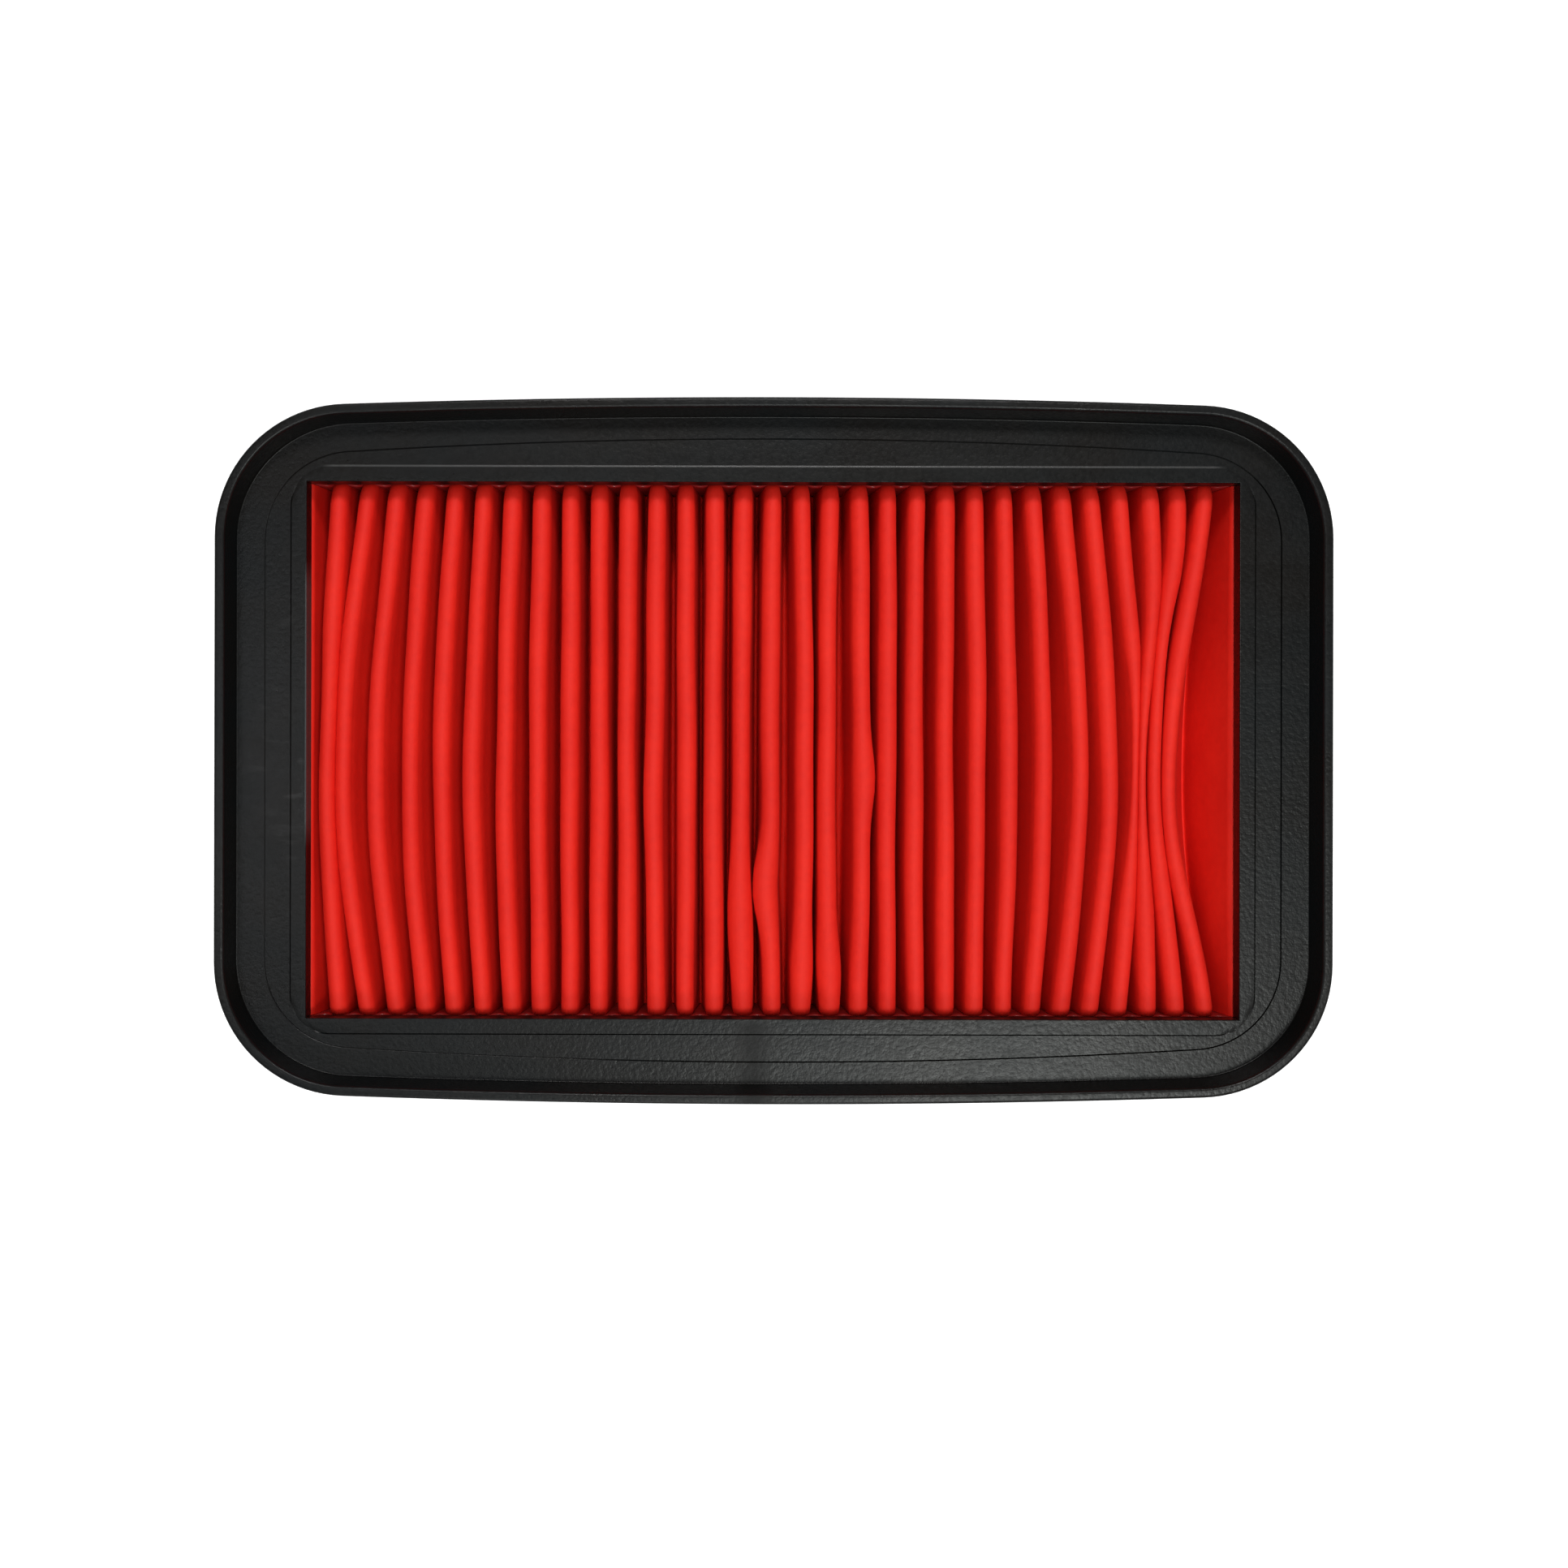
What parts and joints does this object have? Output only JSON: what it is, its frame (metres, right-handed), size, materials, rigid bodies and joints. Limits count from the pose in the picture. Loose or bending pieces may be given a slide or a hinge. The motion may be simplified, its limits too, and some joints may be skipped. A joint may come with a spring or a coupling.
{
  "type": "panel air filter",
  "caption": "Rectangular panel air filter: a pleated red cloth pack glued into a rimmed black plastic frame, with a rear support grid and a soft seal ring.",
  "frame": {"origin": "middle of the filter, on the plane that its rear face rests on", "axes": "+X along the filter, +Y across it along the pleats, +Z out of its dirty side, the face with the rim"},
  "size_m": [0.168, 0.1062, 0.027],
  "materials": {
    "black_plastic": "fine moulded grain, slight sheen",
    "grid_plastic": "plain moulded",
    "red_cloth": "smooth non-woven filter cloth",
    "band_cloth": "non-woven cloth in shade",
    "glue": "glossy hot-melt glue stained by the cloth",
    "seal_foam": "closed-cell foam rubber"
  },
  "bodies": {
    "root": {"frame": "black_plastic", "rear_grid": "grid_plastic", "pleated_media": "red_cloth", "upper_side_band": "band_cloth", "lower_side_band": "band_cloth", "upper_side_glue": "glue", "lower_side_glue": "glue", "left_end_glue": "glue", "right_end_glue": "glue", "gasket": "seal_foam"}
  },
  "joints": []
}
